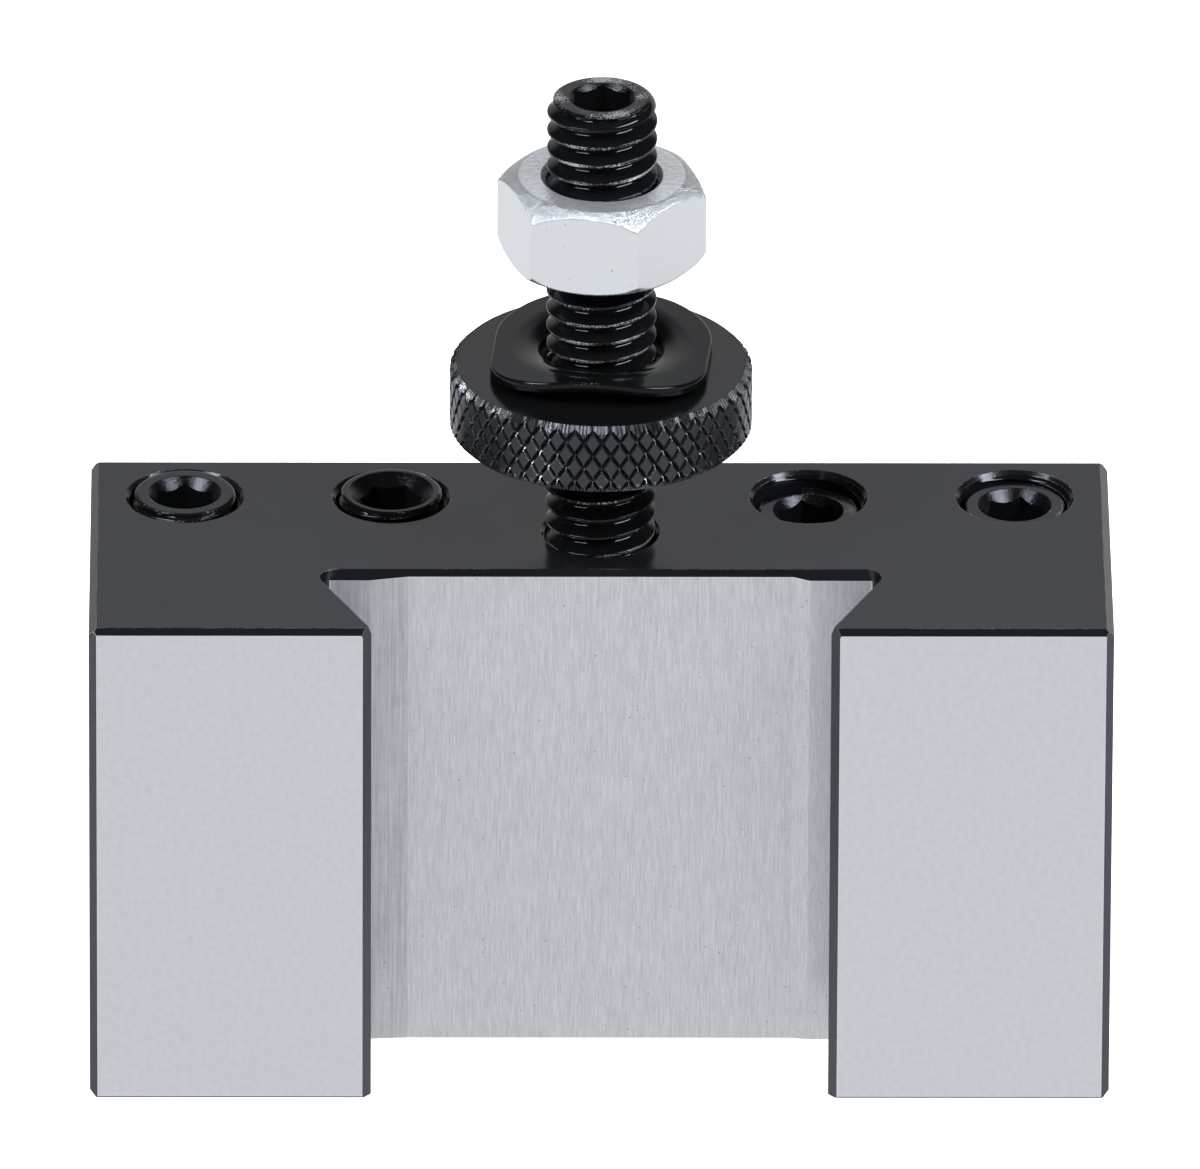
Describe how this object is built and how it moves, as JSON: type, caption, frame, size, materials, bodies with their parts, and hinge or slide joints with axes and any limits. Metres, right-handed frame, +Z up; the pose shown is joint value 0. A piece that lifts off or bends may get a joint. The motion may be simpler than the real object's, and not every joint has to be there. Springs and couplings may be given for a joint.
{
  "type": "lathe tool holder",
  "caption": "Dovetail quick-change lathe tool holder: slotted steel block with clamp screws, and a stud with a knurled height nut, spring washer and lock nut.",
  "frame": {"origin": "centre of the block's underside", "axes": "+X along the block, -Y out of the dovetail side towards the tool post, +Z up the height stud"},
  "size_m": [0.073, 0.027, 0.0722],
  "materials": {
    "black_oxide_block": "black oxide, with the dovetail floor and the two front pads ground bright",
    "black_oxide_hardware": "oiled black oxide",
    "zinc_plate": "bright zinc plate"
  },
  "bodies": {
    "holder": {"tool_block": "black_oxide_block", "height_stud": "black_oxide_hardware"},
    "clamp_screw_1": {"clamp_screw_1": "black_oxide_hardware"},
    "clamp_screw_2": {"clamp_screw_2": "black_oxide_hardware"},
    "clamp_screw_3": {"clamp_screw_3": "black_oxide_hardware"},
    "clamp_screw_4": {"clamp_screw_4": "black_oxide_hardware"},
    "spring_washer": {"spring_washer": "black_oxide_hardware"},
    "knurled_nut": {"knurled_nut": "black_oxide_hardware"},
    "lock_nut": {"lock_nut": "zinc_plate"}
  },
  "joints": [
    {"name": "clamp_screw_1_travel", "type": "slide", "parent": "holder", "child": "clamp_screw_1", "axis": [0, 0, 1], "range_m": [-0.0076, 0.0004]},
    {"name": "clamp_screw_2_travel", "type": "slide", "parent": "holder", "child": "clamp_screw_2", "axis": [0, 0, 1], "range_m": [-0.00775, 0.00025]},
    {"name": "clamp_screw_3_travel", "type": "slide", "parent": "holder", "child": "clamp_screw_3", "axis": [0, 0, 1], "range_m": [-0.00623, 0.00177]},
    {"name": "clamp_screw_4_travel", "type": "slide", "parent": "holder", "child": "clamp_screw_4", "axis": [0, 0, 1], "range_m": [-0.00668, 0.00132]},
    {"name": "height_nut_travel", "type": "slide", "parent": "holder", "child": "spring_washer", "axis": [0, 0, 1], "range_m": [-0.0083, 0.004]},
    {"name": "knurled_nut_turn", "type": "hinge", "parent": "spring_washer", "child": "knurled_nut", "pos_m": [0, 0.0022, 0.0486], "axis": [0, 0, 1], "range_deg": [-2117, 1020]},
    {"name": "lock_nut_travel", "type": "slide", "parent": "spring_washer", "child": "lock_nut", "axis": [0, 0, 1], "range_m": [-0.0062, 0.0021]}
  ],
  "couplings": [
    {"joint": "height_nut_travel", "follows": "knurled_nut_turn", "m_per_rad": 0.00022459}
  ]
}
